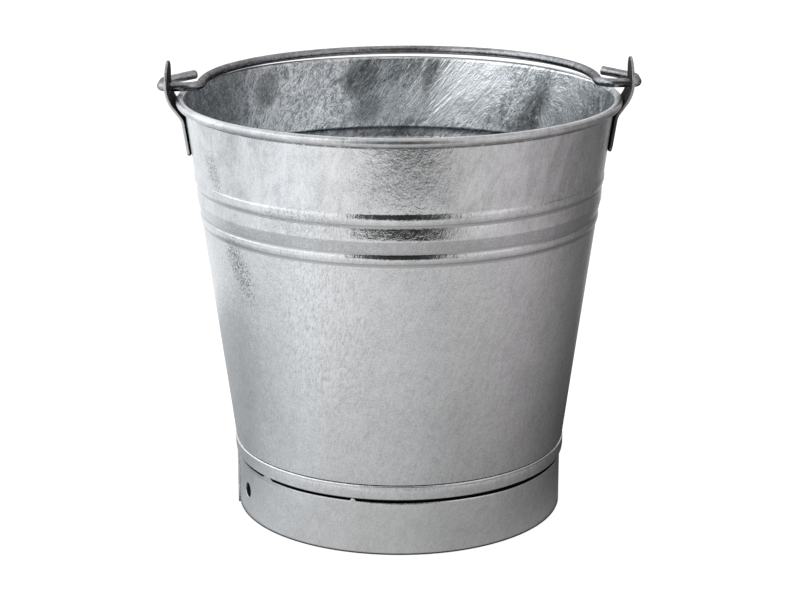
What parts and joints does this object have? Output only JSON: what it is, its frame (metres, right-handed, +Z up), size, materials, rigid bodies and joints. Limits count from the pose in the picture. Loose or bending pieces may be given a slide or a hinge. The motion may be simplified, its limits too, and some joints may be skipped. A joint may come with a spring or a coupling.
{
  "type": "florist bucket",
  "caption": "Galvanised florist bucket: tapered ribbed wall, rolled rim, foot hoop and a wire bail hooked through stamped ears.",
  "frame": {"origin": "middle of the foot hoop's lower edge, on the bucket's axis", "axes": "+Z up along the bucket's axis; the ears are at -X and +X; the bail lies back towards +Y"},
  "size_m": [0.3164, 0.2952, 0.3026],
  "materials": {
    "zinc_wall": "hot-dip galvanised, satin with mottled streaks",
    "zinc_ear": "hot-dip galvanised, satin",
    "zinc_wire": "hot-dip galvanised, satin"
  },
  "bodies": {
    "bucket": {"body_shell": "zinc_wall", "rim_wire": "zinc_wire", "bottom_pan": "zinc_wall", "foot_hoop": "zinc_wall", "ear_left": "zinc_ear", "ear_right": "zinc_ear"},
    "bail": {"bail": "zinc_wire"}
  },
  "joints": [
    {"name": "bail_swing", "type": "hinge", "parent": "bucket", "child": "bail", "pos_m": [0, 0, 0.284], "axis": [1, 0, 0.0093], "range_deg": [0, 175]}
  ]
}
